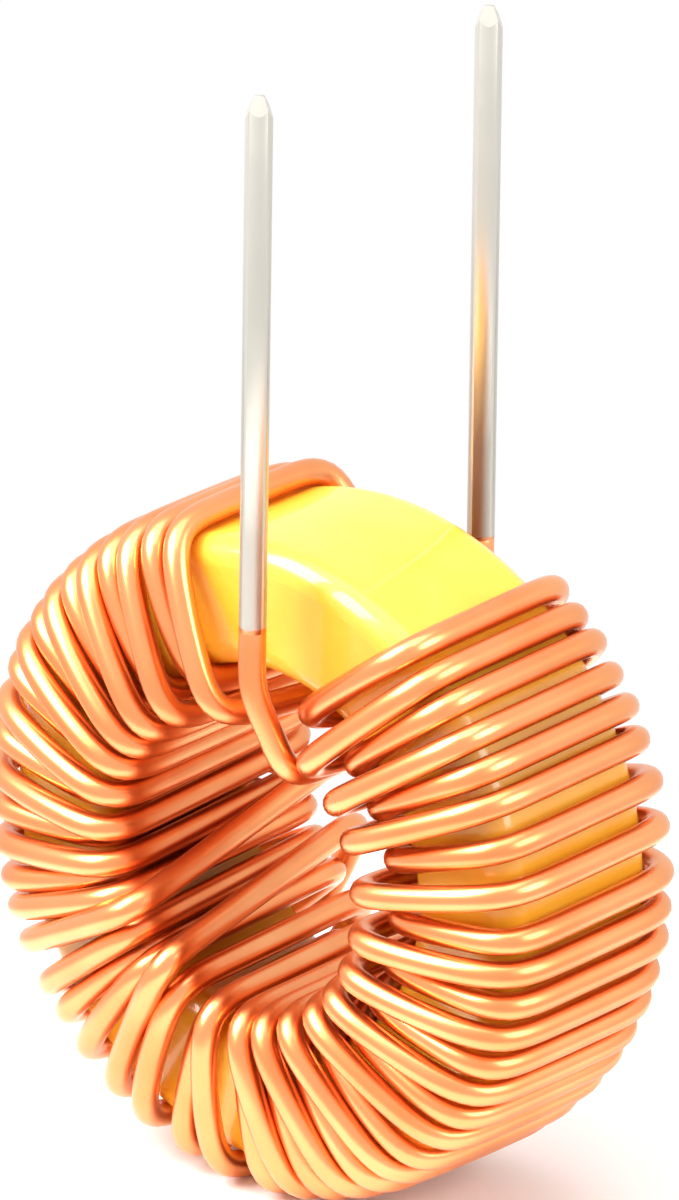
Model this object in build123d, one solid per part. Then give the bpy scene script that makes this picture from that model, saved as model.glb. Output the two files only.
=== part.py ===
"""Toroidal power inductor: a coated iron-powder ring wound with one thick enamelled wire.

Millimetres. The ring's axis runs along Y with its front face towards -Y, and both leads stand up
along +Z. Every shape is drawn about the ring's centre, where angles are counted in the XZ plane
from +X towards +Z, and is moved once at the end, so that the origin lies midway between the leads
in the plane where a circuit board seats on top of the winding.
"""

from build123d import *
import os
from math import ceil, cos, degrees, radians, sin, tan

# Driving dimensions, in millimetres and degrees

CORE_OD = 23.9
CORE_ID = 14.2
CORE_H = 7.92
CORE_EDGE_R = 1.0  # rounding of the ring's four edges

WIRE_D = 1.0  # over the enamel
ENAMEL_T = 0.04
WIRE_GAP = 0.05  # between the wire and the ring's coat
TIGHTNESS = 1.06  # wire spacing where the turns crowd most, in wire diameters

FIRST_TURN_ANGLE = 54.6  # where the first turn crosses the rim
WOUND_ANGLE = 306.0  # from the first turn to the last
# How loosely the turns lie: up to each share of the wound angle, their spacing in tight pitches
LOOSENESS = ((0.10, 1.10), (0.18, 1.48), (0.46, 1.16), (0.61, 1.65), (0.82, 1.23), (1.0, 1.045))

LAYER_STEP = 0.87 * WIRE_D  # from the first layer in the bore to the second
LAYER_RISE = 1.15 * WIRE_D  # how far second-layer turns stand off the faces beside the bore
FIRST_FAN = 16.0  # the first turn's lean across the front face, towards the gap
LAST_FAN = -12.0  # the last turn's lean, towards the gap from the other side
FAN_FADE = 0.45  # each next turn leans this share of the one before

LEAD_PITCH = 12.5
LEAD_X = 1.6  # the leads stand this far to the right of the ring's centre
LEAD_TOP = 30.3  # lead tips above the ring's centre
LEAD_BEND_R = 1.6 * WIRE_D
TIN_BOTTOM = 10.1  # where the tinning starts above the ring's centre
TIN_T = 0.05
TIP_T = 0.34  # across the nipped tip's blunt edge
TIP_H = 0.8  # height of the nipped slopes
STRETCHES = 8  # the wound wire is drawn in this many stretches, which meet end to end

HOOK_DEPTH = 1.1 * WIRE_D  # the front lead's run lies this far below the second layer
HOOK_ANGLE = 62.0  # where that run leaves the bore at the back
HOOK_TWIST = 3.0  # how far it turns about the ring's axis on its way through

# Sizes that follow from them

CORE_R = CORE_OD / 2
BORE_R = CORE_ID / 2
WIRE_R = WIRE_D / 2
TINNED_R = WIRE_R - ENAMEL_T + TIN_T

RIM_R = CORE_R + WIRE_GAP + WIRE_R  # wire centre over the ring's outside
FACE_Y = CORE_H / 2 + WIRE_GAP + WIRE_R  # wire centre over the ring's faces
RAISED_Y = FACE_Y + LAYER_RISE
LAYER_1_R = BORE_R - WIRE_GAP - WIRE_R
LAYER_2_R = LAYER_1_R - LAYER_STEP
HOOK_R = LAYER_2_R - HOOK_DEPTH
BEND_R = CORE_EDGE_R + WIRE_GAP + WIRE_R
RAISED_BEND_R = BEND_R + LAYER_STEP / 2

TIGHT_PITCH = degrees(TIGHTNESS * WIRE_D / LAYER_2_R) / 2  # neighbours lie in different layers
SEAT_Z = RIM_R + WIRE_R
ORIGIN = Location((-LEAD_X, 0, -SEAT_Z))


def polar(radius, angle, y):
    """Point at a radius and an angle about the ring's axis."""
    return Vector(radius * cos(radians(angle)), y, radius * sin(radians(angle)))


def turn_angles():
    """Rim angles of the turns, counted down from the first one round to the last."""
    angles = [FIRST_TURN_ANGLE]
    travelled = 0.0
    while True:
        share = travelled / WOUND_ANGLE
        spacing = next(loose for limit, loose in LOOSENESS if share < limit)
        travelled += spacing * TIGHT_PITCH
        if travelled > WOUND_ANGLE:
            return angles
        angles.append(FIRST_TURN_ANGLE - travelled)


def lead_point(side, height):
    """Point on a lead's straight stretch; side is -1 in front of the ring and 1 behind it."""
    return Vector(LEAD_X, side * LEAD_PITCH / 2, height)


def wire_corners():
    """Corners of the wire's route and their bend radii, between the two tinned leads."""
    angles = turn_angles()
    last = len(angles) - 1
    corners = [
        (lead_point(-1, TIN_BOTTOM), 0),
        (lead_point(-1, LAYER_2_R), LEAD_BEND_R),
        (polar(HOOK_R, HOOK_ANGLE - HOOK_TWIST, -FACE_Y), LEAD_BEND_R),
        (polar(HOOK_R, HOOK_ANGLE, RAISED_Y), LEAD_BEND_R),
    ]
    for turn, angle in enumerate(angles):
        fan = FIRST_FAN * FAN_FADE**turn + LAST_FAN * FAN_FADE ** (last - turn)
        raised = turn % 2 == 1
        bore_r = LAYER_2_R if raised else LAYER_1_R
        bore_y = RAISED_Y if raised else FACE_Y
        bore_bend = RAISED_BEND_R if raised else BEND_R
        corners.append((polar(RIM_R, angle, FACE_Y), BEND_R))
        corners.append((polar(RIM_R, angle, -FACE_Y), BEND_R))
        corners.append((polar(bore_r, angle + fan, -bore_y), bore_bend))
        if turn < last:
            corners.append((polar(bore_r, angles[turn + 1], bore_y), bore_bend))
    corners.append((lead_point(1, LAYER_2_R), LEAD_BEND_R))
    corners.append((lead_point(1, TIN_BOTTOM), 0))
    return corners


def rounded_edges(corners):
    """Straight runs joined by tangent arcs, one arc at each inner corner."""
    edges = []
    here = corners[0][0]
    for (before, _), (corner, radius), (after, _) in zip(corners, corners[1:], corners[2:]):
        arriving = (corner - before).normalized()
        leaving = (after - corner).normalized()
        reach = radius * tan(radians(arriving.get_angle(leaving)) / 2)
        start = corner - arriving * reach
        end = corner + leaving * reach
        edges.append(Edge.make_line(here, start))
        edges.append(Edge.make_tangent_arc(start, arriving, end))
        here = end
    edges.append(Edge.make_line(here, corners[-1][0]))
    return edges


def make_core():
    """The ring, with all four edges rounded."""
    ring = Cylinder(CORE_R, CORE_H) - Cylinder(BORE_R, CORE_H)
    ring = fillet(ring.edges().filter_by(GeomType.CIRCLE), CORE_EDGE_R)
    return Rot(X=90) * ring


def make_winding():
    """The enamelled wire round the ring, as stretches of some six turns that meet end to end."""
    edges = rounded_edges(wire_corners())
    each = ceil(len(edges) / STRETCHES)
    stretches = []
    for first in range(0, len(edges), each):
        path = Wire(edges[first : first + each])
        section = Plane(origin=path.position_at(0), z_dir=path.tangent_at(0)) * Circle(WIRE_R)
        stretches.append(Part() + Solid.sweep(section.face(), path))
    return stretches


def make_lead(side):
    """Round bar of one stripped and tinned lead, nipped to a blunt wedge at its tip."""
    height = LEAD_TOP - TIN_BOTTOM
    slope_foot = height - TIP_H
    bar = Cylinder(TINNED_R, height, align=(Align.CENTER, Align.CENTER, Align.MIN))
    outline = Polygon(
        (-TINNED_R, 0),
        (TINNED_R, 0),
        (TINNED_R, slope_foot),
        (TIP_T / 2, height),
        (-TIP_T / 2, height),
        (-TINNED_R, slope_foot),
        align=None,
    )
    wedge = extrude(Plane.XZ * outline, WIRE_D, both=True)
    return Location(lead_point(side, TIN_BOTTOM)) * (bar & wedge)


NODES = {
    "core": make_core(),
    "lead_front": make_lead(-1),
    "lead_back": make_lead(1),
}
for number, stretch in enumerate(make_winding(), start=1):
    NODES[f"winding_{number}"] = stretch
print(len(turn_angles()), "turns in", STRETCHES, "stretches")

os.makedirs("parts", exist_ok=True)
for node, shape in NODES.items():
    export_step(ORIGIN * shape, f"parts/{node}.step")
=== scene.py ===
"""Toroidal power inductor, finished and lit in a small white studio.

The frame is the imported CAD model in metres: the ring's axis runs along Y, both leads stand up
along +Z, and the origin lies midway between the leads where a circuit board seats. The ring stays
the CAD's own mesh and gets its coat here. The enamelled wire is laid again as one smooth curve,
because a hand winds it looser than drawn arcs, and the two tinned leads are rebuilt with nipped
tips.
"""

import logging
from dataclasses import dataclass, field
from enum import Enum
from math import cos, radians, sin

import bmesh
import bpy
from mathutils import Matrix, Vector

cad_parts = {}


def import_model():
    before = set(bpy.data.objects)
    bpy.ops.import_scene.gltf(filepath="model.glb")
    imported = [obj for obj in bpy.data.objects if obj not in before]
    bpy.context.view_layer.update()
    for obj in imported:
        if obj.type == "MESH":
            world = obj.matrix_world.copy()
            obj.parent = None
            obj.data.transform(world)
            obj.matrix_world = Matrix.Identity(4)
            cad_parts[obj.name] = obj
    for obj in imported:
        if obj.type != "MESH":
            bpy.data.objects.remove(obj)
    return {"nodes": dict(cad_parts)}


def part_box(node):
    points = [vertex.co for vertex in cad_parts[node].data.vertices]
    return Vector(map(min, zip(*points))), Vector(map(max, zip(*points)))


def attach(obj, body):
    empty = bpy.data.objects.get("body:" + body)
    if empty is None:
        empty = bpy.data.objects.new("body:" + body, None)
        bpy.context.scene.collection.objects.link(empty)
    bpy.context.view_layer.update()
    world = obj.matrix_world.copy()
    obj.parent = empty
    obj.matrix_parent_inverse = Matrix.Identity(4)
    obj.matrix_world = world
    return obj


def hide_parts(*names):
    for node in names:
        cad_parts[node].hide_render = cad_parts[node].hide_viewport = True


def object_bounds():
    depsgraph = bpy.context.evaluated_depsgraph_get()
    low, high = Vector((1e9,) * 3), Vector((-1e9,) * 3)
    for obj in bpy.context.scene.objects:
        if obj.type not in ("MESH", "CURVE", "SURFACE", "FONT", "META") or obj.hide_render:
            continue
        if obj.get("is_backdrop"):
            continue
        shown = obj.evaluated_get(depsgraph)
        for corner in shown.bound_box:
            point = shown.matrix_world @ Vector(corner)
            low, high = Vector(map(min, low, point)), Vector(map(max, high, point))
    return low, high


LOG = logging.getLogger("toroidal_inductor")

MM = 0.001
BODY = "root"
NOISE_LOW = 0.3  # a noise rarely leaves the range between these two
NOISE_HIGH = 0.7
WELD = 0.0005 * MM  # vertices closer than this are one

Colour = tuple[float, float, float]


class Slot(Enum):
    """The record's material slots."""

    CORE = "core_coat"
    COPPER = "enamelled_copper"
    TIN = "tin"


class Side(Enum):
    """Which face of the ring a lead stands at, as the sign of Y."""

    FRONT = -1
    BACK = 1


def spread(stations: tuple[tuple[float, float], ...], at: float) -> float:
    """Value between given stations, joined by straight lines.

    Args:
        stations: pairs of place and value, in rising order of place.
        at: the place to read.

    Returns:
        The value there, held level past both ends.
    """
    if at <= stations[0][0]:
        return stations[0][1]
    for (low, first), (high, second) in zip(stations, stations[1:]):
        if at <= high:
            return first + (second - first) * (at - low) / (high - low)
    return stations[-1][1]


class ShaderTree:
    """A short way to write a material's nodes and links."""

    def __init__(self, name: str) -> None:
        """Start an empty material with its output node.

        Args:
            name: the material's name.
        """
        self.material = bpy.data.materials.new(name)
        self.material.use_nodes = True
        self.nodes = self.material.node_tree.nodes
        self.links = self.material.node_tree.links
        self.nodes.clear()
        self.output = self.nodes.new("ShaderNodeOutputMaterial")
        self.place = self.nodes.new("ShaderNodeTexCoord").outputs["Object"]

    def add(self, kind: str, values: dict | None = None, **settings: object) -> bpy.types.Node:
        """Add one node.

        Args:
            kind: the node's type, without its ShaderNode prefix.
            values: socket names with the constants or the sockets to feed them from.
            settings: attributes of the node itself.

        Returns:
            The new node.
        """
        node = self.nodes.new(f"ShaderNode{kind}")
        for name, value in settings.items():
            setattr(node, name, value)
        for name, value in (values or {}).items():
            if isinstance(value, bpy.types.NodeSocket):
                self.links.new(value, node.inputs[name])
            else:
                node.inputs[name].default_value = value
        return node

    def noise(self, scale: float, detail: float = 2.0) -> bpy.types.NodeSocket:
        """Noise on Object coordinates.

        Args:
            scale: cells per metre.
            detail: octaves.

        Returns:
            The noise value's socket.
        """
        values = {"Vector": self.place, "Scale": scale, "Detail": detail}
        return self.add("TexNoise", values).outputs["Fac"]

    def remap(self, value: bpy.types.NodeSocket, low: float, high: float) -> bpy.types.NodeSocket:
        """Spread the middle of a noise over a range.

        Args:
            value: the noise's socket.
            low: result at the noise's usual low, NOISE_LOW.
            high: result at its usual high, NOISE_HIGH.

        Returns:
            The remapped socket.
        """
        values = {
            "Value": value,
            "From Min": NOISE_LOW,
            "From Max": NOISE_HIGH,
            "To Min": low,
            "To Max": high,
        }
        return self.add("MapRange", values).outputs["Result"]

    def sum(
        self,
        first: bpy.types.NodeSocket,
        factor: bpy.types.NodeSocket | float,
        second: bpy.types.NodeSocket,
    ) -> bpy.types.NodeSocket:
        """One value times a factor, plus another.

        Args:
            first: the value that is multiplied.
            factor: what it is multiplied by.
            second: the value that is added.

        Returns:
            The result's socket.
        """
        values = {0: first, 1: factor, 2: second}
        return self.add("Math", values, operation="MULTIPLY_ADD").outputs["Value"]

    def tint(
        self, value: bpy.types.NodeSocket, first: Colour, second: Colour
    ) -> bpy.types.NodeSocket:
        """Colour between two.

        Args:
            value: the socket to read, from 0 to 1.
            first: colour at 0.
            second: colour at 1.

        Returns:
            The mixed colour's socket.
        """
        mix = self.add("Mix", data_type="RGBA")
        self.links.new(value, mix.inputs["Factor"])
        mix.inputs[6].default_value = (*first, 1.0)
        mix.inputs[7].default_value = (*second, 1.0)
        return mix.outputs[2]

    def bump(
        self, height: bpy.types.NodeSocket, strength: float, distance: float
    ) -> bpy.types.NodeSocket:
        """Bumped normal.

        Args:
            height: the height's socket.
            strength: share of the bump that shows.
            distance: depth in metres.

        Returns:
            The normal's socket.
        """
        values = {"Height": height, "Strength": strength, "Distance": distance}
        return self.add("Bump", values).outputs["Normal"]

    def finish(self, shader: bpy.types.NodeSocket) -> bpy.types.Material:
        """Join the shader to the output.

        Args:
            shader: the shader's socket.

        Returns:
            The finished material.
        """
        self.links.new(shader, self.output.inputs["Surface"])
        return self.material


@dataclass(frozen=True)
class EnamelledCopper:
    """Drawn copper under clear, faintly orange enamel: satin highlights and red-orange depths."""

    light: Colour = (0.97, 0.43, 0.175)
    dark: Colour = (0.87, 0.30, 0.10)
    patch_scale: float = 240.0
    grain_scale: float = 2600.0
    grain_depth: float = 0.02 * MM
    grain_share: float = 0.10
    smoothest: float = 0.27
    roughest: float = 0.37
    enamel_weight: float = 0.35
    enamel_roughness: float = 0.12
    enamel_ior: float = 1.55
    enamel_tint: Colour = (1.0, 0.90, 0.80)

    def shader(self, tree: ShaderTree) -> bpy.types.NodeSocket:
        """Add the metal and its enamel to a tree.

        Args:
            tree: the material being built.

        Returns:
            The shader's socket.
        """
        patches = tree.noise(self.patch_scale)
        grain = tree.noise(self.grain_scale)
        metal = tree.add(
            "BsdfPrincipled",
            {
                "Base Color": tree.tint(tree.remap(patches, 0.0, 1.0), self.light, self.dark),
                "Metallic": 1.0,
                "Roughness": tree.remap(patches, self.smoothest, self.roughest),
                "Coat Weight": self.enamel_weight,
                "Coat Roughness": self.enamel_roughness,
                "Coat IOR": self.enamel_ior,
                "Coat Tint": (*self.enamel_tint, 1.0),
                "Normal": tree.bump(grain, self.grain_share, self.grain_depth),
            },
        )
        return metal.outputs["BSDF"]

    def material(self) -> bpy.types.Material:
        """Build the material."""
        tree = ShaderTree("enamelled_copper_finish")
        return tree.finish(self.shader(tree))


@dataclass(frozen=True)
class YellowCoat:
    """Thick glossy coat baked on pressed iron powder, a little uneven like poured paint."""

    light: Colour = (1.0, 0.52, 0.045)
    dark: Colour = (0.98, 0.45, 0.02)
    wave_scale: float = 420.0
    wave_detail: float = 3.0
    peel_scale: float = 1900.0
    peel_depth: float = 0.03 * MM
    peel_share: float = 0.16
    gloss_peel_share: float = 0.10
    roughness: float = 0.34
    ior: float = 1.5
    depth_weight: float = 0.5  # how much light enters the coat and comes out beside its entry
    depth_radius: Colour = (1.0, 0.5, 0.1)
    depth_scale: float = 0.9 * MM
    gloss_weight: float = 0.8
    gloss_roughness: float = 0.09

    def material(self) -> bpy.types.Material:
        """Build the material."""
        tree = ShaderTree("yellow_coat_finish")
        waves = tree.noise(self.wave_scale, self.wave_detail)
        peel = tree.noise(self.peel_scale)
        height = tree.add("Math", {0: waves, 1: peel}, operation="ADD").outputs["Value"]
        coat = tree.add(
            "BsdfPrincipled",
            {
                "Base Color": tree.tint(tree.remap(waves, 0.0, 1.0), self.light, self.dark),
                "Roughness": self.roughness,
                "IOR": self.ior,
                "Subsurface Weight": self.depth_weight,
                "Subsurface Radius": self.depth_radius,
                "Subsurface Scale": self.depth_scale,
                "Coat Weight": self.gloss_weight,
                "Coat Roughness": self.gloss_roughness,
                "Normal": tree.bump(height, self.peel_share, self.peel_depth),
                "Coat Normal": tree.bump(height, self.gloss_peel_share, self.peel_depth),
            },
        )
        return tree.finish(coat.outputs["BSDF"])


@dataclass(frozen=True)
class TinnedCopper:
    """Dip-tinned wire: satin solder down to a soft uneven line, and copper below it."""

    line_z: float
    line_slant: float = 0.12
    line_blur: float = 0.09 * MM
    line_wander: float = 0.5 * MM
    line_wander_scale: float = 1800.0
    solder: Colour = (0.64, 0.615, 0.55)
    metallic: float = 0.78
    smoothest: float = 0.32
    roughest: float = 0.40
    streak_scale: float = 700.0
    ripple_scale: float = 900.0
    ripple_share: float = 0.12
    ripple_depth: float = 0.03 * MM
    detail: float = 3.0
    copper: EnamelledCopper = field(default_factory=EnamelledCopper)

    def material(self) -> bpy.types.Material:
        """Build the material, with the tin line at its height in the row frame."""
        tree = ShaderTree("tinned_copper_finish")
        streaks = tree.noise(self.streak_scale, self.detail)
        ripples = tree.noise(self.ripple_scale, self.detail)
        solder = tree.add(
            "BsdfPrincipled",
            {
                "Base Color": (*self.solder, 1.0),
                "Metallic": self.metallic,
                "Roughness": tree.remap(streaks, self.smoothest, self.roughest),
                "Normal": tree.bump(ripples, self.ripple_share, self.ripple_depth),
            },
        )
        parts = tree.add("SeparateXYZ", {"Vector": tree.place})
        leaning = tree.sum(parts.outputs["X"], self.line_slant, parts.outputs["Z"])
        height = tree.sum(tree.noise(self.line_wander_scale), self.line_wander, leaning)
        low = self.line_z + self.line_wander / 2
        span = {"Value": height, "From Min": low, "From Max": low + self.line_blur}
        share = tree.add("MapRange", span).outputs["Result"]
        both = {"Fac": share, 1: self.copper.shader(tree), 2: solder.outputs["BSDF"]}
        return tree.finish(tree.add("MixShader", both).outputs["Shader"])


@dataclass(frozen=True)
class CutCopper:
    """Bright face left by the cutters at a lead's tip: copper smeared with pale solder."""

    colour: Colour = (0.93, 0.76, 0.50)
    roughness: float = 0.38
    scratch_scale: float = 4000.0
    scratch_share: float = 0.3
    scratch_depth: float = 0.03 * MM

    def material(self) -> bpy.types.Material:
        """Build the material."""
        tree = ShaderTree("cut_copper_finish")
        scratches = tree.noise(self.scratch_scale)
        face = tree.add(
            "BsdfPrincipled",
            {
                "Base Color": (*self.colour, 1.0),
                "Metallic": 1.0,
                "Roughness": self.roughness,
                "Normal": tree.bump(scratches, self.scratch_share, self.scratch_depth),
            },
        )
        return tree.finish(face.outputs["BSDF"])


@dataclass
class Ring:
    """The coated ring core, as measured from the frame."""

    centre: Vector = field(init=False)
    outer_r: float = field(init=False)
    half_height: float = field(init=False)
    bore_r: float = 7.1 * MM

    def __post_init__(self) -> None:
        """Read the ring's place and size from its CAD node."""
        low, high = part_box("core")
        self.centre = (low + high) / 2
        self.outer_r = (high.x - low.x) / 2
        self.half_height = (high.y - low.y) / 2

    def polar(self, radius: float, angle: float, y: float) -> Vector:
        """Point about the ring's axis.

        Args:
            radius: distance from the axis in metres.
            angle: degrees from +X towards +Z.
            y: distance along the axis from the ring's middle, in metres.

        Returns:
            The point in the row frame.
        """
        turned = Vector((radius * cos(radians(angle)), y, radius * sin(radians(angle))))
        return self.centre + turned

    def dress(self, node: bpy.types.Object) -> None:
        """Give the CAD ring its coat.

        Args:
            node: the core's CAD object.
        """
        node.data.materials.clear()
        node.data.materials.append(YellowCoat().material())
        for polygon in node.data.polygons:
            polygon.material_index = 0
        LOG.info("core: coated, %d faces", len(node.data.polygons))


@dataclass
class Wire:
    """The enamelled wire's route: hooked lead, turns round the ring, and second lead."""

    ring: Ring
    diameter: float = 1.0 * MM
    clearance: float = 0.05 * MM
    first_angle: float = 54.6
    wound_angle: float = 306.0
    tight_pitch: float = 5.346
    looseness: tuple[tuple[float, float], ...] = (
        (0.10, 1.10),
        (0.18, 1.48),
        (0.46, 1.16),
        (0.61, 1.65),
        (0.82, 1.23),
        (1.0, 1.045),
    )
    # A few turns were pushed along the rim by hand: turn number and degrees
    pushed: dict[int, float] = field(
        default_factory=lambda: {
            3: 0.5,
            7: -1.6,
            8: -1.4,
            9: -1.9,
            17: -1.2,
            18: -1.2,
            19: -1.1,
            20: -0.8,
            21: -0.4,
            24: -4.0,
            25: -3.7,
            26: -4.0,
            27: -2.7,
            28: -2.4,
            29: -1.0,
            31: -1.5,
            32: -1.2,
        }
    )
    # How far each turn leans across the front face, from rim to bore: turn number and degrees
    lean: tuple[tuple[float, float], ...] = (
        (1, 16.0),
        (2, 8.0),
        (3, 4.0),
        (6, 0.0),
        (8, -3.0),
        (11, -7.0),
        (13, -9.0),
        (21, -9.5),
        (23, -6.0),
        (25, -3.0),
        (28, 0.0),
        (36, 3.0),
        (45, 4.0),
        (47, -2.0),
        (48, -11.0),
    )
    bore_twist: float = 1.0
    back_lean: float = 2.0  # turns lean no more than this towards the gap behind the ring
    back_share: float = 0.35
    rim_slant: float = 0.5  # half of a turn's slant across the rim, in degrees
    layer_step: float = 0.87 * MM
    layer_rise: float = 1.15 * MM
    reach: float = 2.6 * MM  # from a corner to the control points beside it
    reach_share: float = 0.42  # the most of a run that the reach takes
    bow: float = 0.13 * MM  # how far the runs bulge away from the ring, and the shares of it below
    raised_bow: float = 1.3
    level_bow: float = 0.8
    bow_change: float = 0.3
    bow_wave: float = 2.7  # radians from one turn to the next
    rim_bow: float = 0.3
    front_bow: float = 1.6
    middle_bow: float = 1.3
    # Turns that slipped over their neighbours in the bore: turn number and degrees of twist
    slipped: dict[int, float] = field(default_factory=lambda: {27: -27.0, 31: -31.0})
    slipped_rise: float = 0.9 * MM
    slipped_front: float = 0.8  # share of that rise in front
    slipped_depth: float = 1.02  # below the second layer, in wire diameters
    lead_pitch: float = 12.5 * MM
    tin_bottom: float = -2.9 * MM
    tin_cover: float = 0.4 * MM  # the wire ends this far inside the tinned lead
    hook_depth: float = 1.1 * MM
    hook_angle: float = 62.0
    hook_twist: float = 3.0
    hook_lift: float = 0.1  # in wire diameters
    hook_top: float = 7.6 * MM  # where the front lead starts to lean, above the ring's centre

    def angles(self) -> list[float]:
        """Rim angles of the turns, counted down from the first one."""
        found = []
        travelled = 0.0
        while travelled <= self.wound_angle:
            found.append(self.first_angle - travelled + self.pushed.get(len(found) + 1, 0.0))
            share = travelled / self.wound_angle
            spacing = next(loose for limit, loose in self.looseness if share < limit + 1e-9)
            travelled += spacing * self.tight_pitch
        return found

    def corners(self) -> list[tuple[Vector, Vector]]:
        """Corners of the route, in order.

        Returns:
            Each corner, with the way the wire bulges on the run after it, in metres.
        """
        radius = self.diameter / 2
        rim_r = self.ring.outer_r + self.clearance + radius
        face_y = self.ring.half_height + self.clearance + radius
        raised_y = face_y + self.layer_rise
        layer_1 = self.ring.bore_r - self.clearance - radius
        layer_2 = layer_1 - self.layer_step
        hook_r = layer_2 - self.hook_depth
        polar = self.ring.polar
        hook_front = polar(
            hook_r + self.hook_lift * self.diameter,
            self.hook_angle - self.hook_twist,
            -face_y - radius,
        )
        angles = self.angles()
        last = len(angles)
        route = [
            (self.lead(Side.FRONT, self.hook_top), Vector()),
            (hook_front, Vector()),
            (polar(hook_r, self.hook_angle, raised_y), Vector((0, self.bow, 0))),
        ]
        for turn, angle in enumerate(angles, start=1):
            leaning = angle + spread(self.lean, turn)
            raised = turn % 2 == 0
            bore_r = layer_2 if raised else layer_1
            bore_y = raised_y if raised else face_y
            swell = self.raised_bow if raised else self.level_bow
            swell = self.bow * (swell + self.bow_change * sin(self.bow_wave * turn))
            outward = polar(self.rim_bow * swell, angle, 0) - self.ring.centre
            forward = Vector((0, -self.front_bow * swell, 0))
            route.append((polar(rim_r, angle + self.rim_slant, face_y), outward))
            route.append((polar(rim_r, angle - self.rim_slant, -face_y), forward))
            if turn in self.slipped:
                bore_r = layer_2 - self.slipped_depth * self.diameter
                bore_y = raised_y + self.slipped_front * self.slipped_rise
            route.append((polar(bore_r, leaning, -bore_y), Vector()))
            if turn in self.slipped:
                back = polar(bore_r, leaning + self.slipped[turn], raised_y + self.slipped_rise)
                route.append((back, Vector((0, self.slipped_rise, 0))))
            elif turn < last:
                back = angles[turn] + min(spread(self.lean, turn + 1), self.back_lean)
                back += (angle - angles[turn]) * self.back_share - self.bore_twist
                route.append((polar(bore_r, back, bore_y), Vector((0, swell, 0))))
        route.append((self.lead(Side.BACK, layer_2), Vector()))
        return route

    def lead(self, side: Side, height: float) -> Vector:
        """Point on a lead's straight stretch.

        Args:
            side: the face it stands at.
            height: metres above the ring's centre.

        Returns:
            The point in the row frame.
        """
        return Vector((0, side.value * self.lead_pitch / 2, self.ring.centre.z + height))

    def control_points(self) -> list[Vector]:
        """Control points of the whole wire: each corner, and two or three points on each run."""
        top = self.tin_bottom + self.tin_cover - self.ring.centre.z
        route = self.corners()
        route.insert(0, (self.lead(Side.FRONT, top), Vector()))
        route.append((self.lead(Side.BACK, top), Vector()))
        points = [route[0][0]]
        for (here, bulge), (after, _) in zip(route, route[1:]):
            run = after - here
            step = min(self.reach, self.reach_share * run.length)
            points.append(here + run.normalized() * step + bulge)
            if run.length > 3 * self.reach:
                points.append((here + after) / 2 + self.middle_bow * bulge)
            points.append(after - run.normalized() * step + bulge)
            points.append(after)
        return points

    def build(self, stretches: tuple[str, ...]) -> bpy.types.Object:
        """Lay the wire as one smooth round tube.

        Args:
            stretches: the CAD nodes that the wire stands for.

        Returns:
            The winding's mesh object, riding on the body and standing for its CAD nodes.
        """
        line = bpy.data.curves.new("wire_line", "CURVE")
        line.dimensions = "3D"
        line.resolution_u = 6
        line.bevel_depth = self.diameter / 2
        line.bevel_resolution = 6
        line.use_fill_caps = True
        line.twist_mode = "MINIMUM"
        spline = line.splines.new("NURBS")
        points = self.control_points()
        spline.points.add(len(points) - 1)
        for knot, point in zip(spline.points, points):
            knot.co = (*point, 1.0)
        spline.order_u = 4
        spline.use_endpoint_u = True
        carrier = bpy.data.objects.new("wire_line", line)
        bpy.context.scene.collection.objects.link(carrier)
        bpy.context.view_layer.update()
        mesh = bpy.data.meshes.new_from_object(carrier)
        bpy.data.objects.remove(carrier)
        copper = EnamelledCopper().material()
        return finish_piece("winding_wire", mesh, copper, Slot.COPPER, stretches)


@dataclass
class TinnedLead:
    """One stripped, tinned lead with its tip nipped by cutters."""

    side: Side
    radius: float = 0.505 * MM
    overlap: float = 0.16 * MM  # how far it reaches down over the enamelled wire
    tip_half_width: float = 0.17 * MM
    tip_height: float = 0.85 * MM
    facet_half_width: float = 0.12 * MM
    facet_height: float = 0.62 * MM
    nip_turn: float = 40.0  # the direction that the cutters came from, in degrees
    segments: int = 32

    def build(self, finishes: list[bpy.types.Material]) -> bpy.types.Object:
        """Build the lead.

        Args:
            finishes: the tinned and the cut copper materials.

        Returns:
            The lead's mesh object, standing for its CAD node.
        """
        node = f"lead_{self.side.name.lower()}"
        low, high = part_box(node)
        foot = low.z - self.overlap
        shape = bmesh.new()
        bmesh.ops.create_cone(
            shape,
            cap_ends=True,
            segments=self.segments,
            radius1=self.radius,
            radius2=self.radius,
            depth=high.z - foot,
        )
        centre = Vector(((low.x + high.x) / 2, (low.y + high.y) / 2, (high.z + foot) / 2))
        bmesh.ops.translate(shape, verts=shape.verts, vec=centre)
        tip = Vector((centre.x, centre.y, high.z))
        for quarter in range(4):
            self.nip(shape, tip, self.nip_turn + 90.0 * quarter, quarter % 2 == 0)
        mesh = bpy.data.meshes.new(node)
        shape.normal_update()
        shape.to_mesh(mesh)
        shape.free()
        return finish_piece(f"tinned_{node}", mesh, finishes, Slot.TIN, (node,))

    def nip(self, shape: bmesh.types.BMesh, tip: Vector, turn: float, wide: bool) -> None:
        """Cut one slope off the tip.

        Args:
            shape: the lead's mesh, changed in place.
            tip: the middle of the lead's top.
            turn: the direction that the slope faces, in degrees from +X.
            wide: true for the cutters' two jaws, false for the slopes between them.
        """
        half = self.tip_half_width if wide else self.facet_half_width
        height = self.tip_height if wide else self.facet_height
        facing = Vector((cos(radians(turn)), sin(radians(turn)), 0))
        normal = (facing * height + Vector((0, 0, self.radius - half))).normalized()
        cut = bmesh.ops.bisect_plane(
            shape,
            geom=[*shape.verts, *shape.edges, *shape.faces],
            plane_co=tip + facing * half,
            plane_no=normal,
            clear_outer=True,
        )
        rim = [edge for edge in cut["geom_cut"] if isinstance(edge, bmesh.types.BMEdge)]
        filled = bmesh.ops.edgenet_fill(shape, edges=rim)
        for face in filled["faces"]:
            face.material_index = 0 if wide else 1


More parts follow.
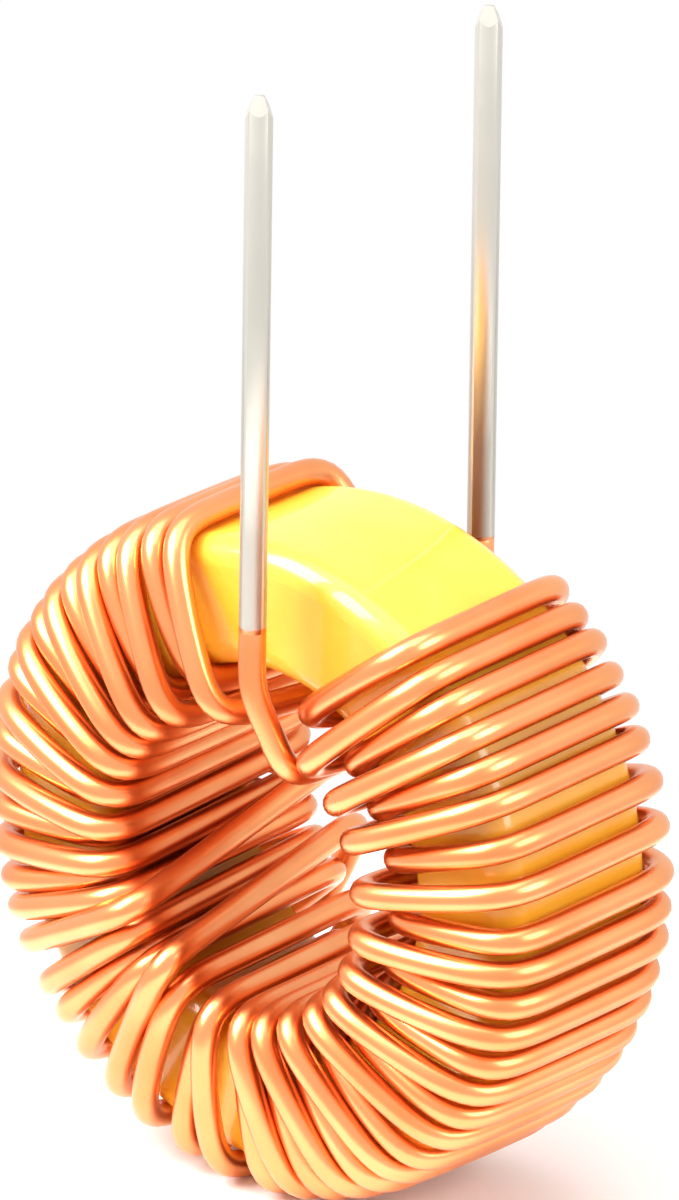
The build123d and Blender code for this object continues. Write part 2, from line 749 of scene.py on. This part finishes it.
def finish_piece(
    name: str,
    mesh: bpy.types.Mesh,
    finishes: bpy.types.Material | list[bpy.types.Material],
    slot: Slot,
    nodes: tuple[str, ...],
) -> bpy.types.Object:
    """Make a mesh one of the object's pieces.

    Args:
        name: the piece's name.
        mesh: its mesh, in place.
        finishes: one material or several.
        slot: the record's material slot; not used.
        nodes: the CAD nodes it stands for.

    Returns:
        The piece.
    """
    mesh.materials.clear()
    for finish in finishes if isinstance(finishes, list) else [finishes]:
        mesh.materials.append(finish)
    piece = bpy.data.objects.new(name, mesh)
    bpy.context.scene.collection.objects.link(piece)
    shape = bmesh.new()
    shape.from_mesh(mesh)
    bmesh.ops.remove_doubles(shape, verts=shape.verts, dist=WELD)
    bmesh.ops.recalc_face_normals(shape, faces=shape.faces)
    for face in shape.faces:
        face.smooth = len(face.verts) == 4
    shape.to_mesh(mesh)
    triangles = sum(len(face.verts) - 2 for face in shape.faces)
    open_edges = sum(not edge.is_manifold for edge in shape.edges)
    shape.free()
    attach(piece, BODY)
    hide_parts(*nodes)
    LOG.info("%s: %d triangles, %d open edges", name, triangles, open_edges)
    return piece


@dataclass(frozen=True)
class Glow:
    """Soft bright patch of the room round the object."""

    azimuth: float
    elevation: float
    edge: float  # cosine from its middle where it starts
    heart: float  # cosine from its middle where it is brightest
    radiance: float  # there


@dataclass(frozen=True)
class Lamp:
    """Square soft lamp that faces the object."""

    name: str
    azimuth: float
    elevation: float
    size: float  # side in metres
    watts: float


@dataclass
class Studio:
    """White sweep, pale floor and large soft lamps."""

    target: Vector
    floor_z: float = -26.0 * MM  # the underside of the winding
    floor_r: float = 38.0 * MM
    floor_whole_r: float = 20.0 * MM  # beyond it the floor fades into the white behind
    floor_sides: int = 96
    paper: Colour = (0.93, 0.93, 0.93)
    paper_roughness: float = 0.9
    ambient: float = 0.36
    warmth: Colour = (1.0, 0.985, 0.96)
    glows: tuple[Glow, ...] = (
        Glow(-25.0, 0.0, 0.45, 0.93, 1.05),
        Glow(118.0, 0.0, 0.65, 0.93, 0.60),
        Glow(0.0, 90.0, 0.1, 0.9, 0.45),
    )
    lamps: tuple[Lamp, ...] = (
        Lamp("key", -35.0, 48.0, 0.40, 6.6),
        Lamp("fill", 105.0, 28.0, 0.35, 1.9),
        Lamp("top", 30.0, 86.0, 0.50, 1.9),
    )
    lamp_distance: float = 0.60

    def world(self) -> None:
        """White that the eye, metal and glass see, and a room with bright sides for the light."""
        world = bpy.data.worlds.new("studio_world")
        bpy.context.scene.world = world
        world.use_nodes = True
        tree = world.node_tree
        tree.nodes.clear()
        out = tree.nodes.new("ShaderNodeOutputWorld")
        rays = tree.nodes.new("ShaderNodeLightPath")
        spot = tree.nodes.new("ShaderNodeTexCoord").outputs["Generated"]
        bright = self.patch(tree, spot, self.glows[0])
        for glow in self.glows[1:]:
            bright = self.more(tree, bright, self.patch(tree, spot, glow))
        ambient = tree.nodes.new("ShaderNodeMath")
        ambient.inputs[1].default_value = self.ambient
        tree.links.new(bright, ambient.inputs[0])
        room = tree.nodes.new("ShaderNodeBackground")
        room.inputs["Color"].default_value = (*self.warmth, 1.0)
        tree.links.new(ambient.outputs["Value"], room.inputs["Strength"])
        white = tree.nodes.new("ShaderNodeBackground")
        white.inputs["Color"].default_value = (1, 1, 1, 1)
        white.inputs["Strength"].default_value = 1.0
        seen = self.more(tree, rays.outputs["Is Camera Ray"], rays.outputs["Is Glossy Ray"])
        seen = self.more(tree, seen, rays.outputs["Is Transmission Ray"])
        mix = tree.nodes.new("ShaderNodeMixShader")
        tree.links.new(seen, mix.inputs["Fac"])
        tree.links.new(room.outputs["Background"], mix.inputs[1])
        tree.links.new(white.outputs["Background"], mix.inputs[2])
        tree.links.new(mix.outputs["Shader"], out.inputs["Surface"])

    @staticmethod
    def patch(
        tree: bpy.types.NodeTree, spot: bpy.types.NodeSocket, glow: Glow
    ) -> bpy.types.NodeSocket:
        """Add one bright patch of the room.

        Args:
            tree: the world's nodes.
            spot: the direction looked in.
            glow: the patch.

        Returns:
            The radiance's socket.
        """
        turn = tree.nodes.new("ShaderNodeVectorMath")
        turn.operation = "DOT_PRODUCT"
        turn.inputs[1].default_value = bearing(glow.azimuth, glow.elevation)
        tree.links.new(spot, turn.inputs[0])
        patch = tree.nodes.new("ShaderNodeMapRange")
        patch.interpolation_type = "SMOOTHSTEP"
        patch.inputs["From Min"].default_value = glow.edge
        patch.inputs["From Max"].default_value = glow.heart
        patch.inputs["To Max"].default_value = glow.radiance
        tree.links.new(turn.outputs["Value"], patch.inputs["Value"])
        return patch.outputs["Result"]

    @staticmethod
    def more(
        tree: bpy.types.NodeTree, first: bpy.types.NodeSocket, second: bpy.types.NodeSocket
    ) -> bpy.types.NodeSocket:
        """Sum of two sockets.

        Args:
            tree: the world's nodes.
            first: one socket.
            second: the other.

        Returns:
            The sum's socket.
        """
        both = tree.nodes.new("ShaderNodeMath")
        tree.links.new(first, both.inputs[0])
        tree.links.new(second, both.inputs[1])
        return both.outputs["Value"]

    def hang(self, lamp: Lamp) -> None:
        """Hang one lamp.

        Args:
            lamp: what and where it is.
        """
        light = bpy.data.lights.new(lamp.name, "AREA")
        light.shape = "SQUARE"
        light.size = lamp.size
        light.energy = lamp.watts
        carrier = bpy.data.objects.new(lamp.name, light)
        toward = bearing(lamp.azimuth, lamp.elevation)
        carrier.matrix_world = aimed(self.target + toward * self.lamp_distance, toward)
        bpy.context.scene.collection.objects.link(carrier)

    def floor(self) -> None:
        """Lay the pale floor that the winding rests on."""
        shape = bmesh.new()
        bmesh.ops.create_circle(
            shape, cap_ends=True, segments=self.floor_sides, radius=self.floor_r
        )
        bmesh.ops.translate(shape, verts=shape.verts, vec=(0, 0, self.floor_z))
        mesh = bpy.data.meshes.new("studio_floor")
        shape.to_mesh(mesh)
        shape.free()
        tree = ShaderTree("floor_paper")
        look = {"Base Color": (*self.paper, 1.0), "Roughness": self.paper_roughness}
        paper = tree.add("BsdfPrincipled", look)
        flat = tree.add("VectorMath", {0: tree.place, 1: (1, 1, 0)}, operation="MULTIPLY")
        away = tree.add("VectorMath", {0: flat.outputs["Vector"]}, operation="LENGTH")
        span = {
            "Value": away.outputs["Value"],
            "From Min": self.floor_whole_r,
            "From Max": self.floor_r,
        }
        fade = tree.add("MapRange", span, interpolation_type="SMOOTHSTEP").outputs["Result"]
        clear = tree.add("BsdfTransparent").outputs["BSDF"]
        both = tree.add("MixShader", {"Fac": fade, 1: paper.outputs["BSDF"], 2: clear})
        mesh.materials.append(tree.finish(both.outputs["Shader"]))
        floor = bpy.data.objects.new("studio_floor", mesh)
        bpy.context.scene.collection.objects.link(floor)
        floor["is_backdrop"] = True

    def build(self) -> None:
        """Set up the room."""
        self.world()
        self.floor()
        for lamp in self.lamps:
            self.hang(lamp)


def bearing(azimuth: float, elevation: float) -> Vector:
    """Unit vector from the object towards a viewer.

    Args:
        azimuth: degrees from -Y towards +X.
        elevation: degrees above the XY plane.

    Returns:
        The direction.
    """
    across = cos(radians(elevation))
    return Vector(
        (
            sin(radians(azimuth)) * across,
            -cos(radians(azimuth)) * across,
            sin(radians(elevation)),
        )
    )


def aimed(place: Vector, backwards: Vector) -> Matrix:
    """Matrix of a camera or a lamp.

    Args:
        place: where it stands.
        backwards: the direction from what it faces towards it.

    Returns:
        Its matrix in the world.
    """
    return Matrix.Translation(place) @ backwards.to_track_quat("Z", "Y").to_matrix().to_4x4()


@dataclass
class ViewCamera:
    """Long-lens camera a little right of the ring's front and above it."""

    target: Vector
    azimuth: float = 40.6
    elevation: float = 21.6
    roll: float = 0.8
    distance: float = 1.0
    frame_height: float = 43.2 * MM  # what the sensor's long side spans at the target
    sensor: float = 36.0
    nearest: float = 0.01
    right: float = 0.23 * MM
    up: float = 8.24 * MM

    def build(self) -> None:
        """Place the camera and make it the scene's."""
        data = bpy.data.cameras.new("view_camera")
        data.sensor_width = self.sensor
        data.lens = self.sensor * self.distance / self.frame_height
        data.clip_start = self.nearest
        camera = bpy.data.objects.new("view_camera", data)
        back = bearing(self.azimuth, self.elevation)
        turned = aimed(self.target, back)
        turned = turned @ Matrix.Translation((self.right, self.up, self.distance))
        camera.matrix_world = turned @ Matrix.Rotation(radians(self.roll), 4, "Z")
        bpy.context.scene.collection.objects.link(camera)
        bpy.context.scene.camera = camera


def note_size(sizes: dict[str, object], key: str) -> None:
    """Args:
        sizes: what was noted before, added to in place.
        key: the moment's name.
    """
    sizes[key] = [[float(value) for value in corner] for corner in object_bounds()]


def main() -> None:
    """Build the scene."""
    logging.basicConfig(level=logging.INFO, format="%(message)s")
    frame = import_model()
    sizes: dict[str, object] = {}
    note_size(sizes, "cad")
    ring = Ring()
    ring.dress(frame["nodes"]["core"])
    wire = Wire(ring)
    wire.build(tuple(sorted(name for name in frame["nodes"] if name.startswith("winding"))))
    finishes = [TinnedCopper(wire.tin_bottom).material(), CutCopper().material()]
    for side in Side:
        TinnedLead(side).build(finishes)
    Studio(ring.centre).build()
    ViewCamera(ring.centre).build()
    bpy.context.scene.view_settings.view_transform = "Standard"
    note_size(sizes, "dressed")


if __name__ == "__main__":
    main()
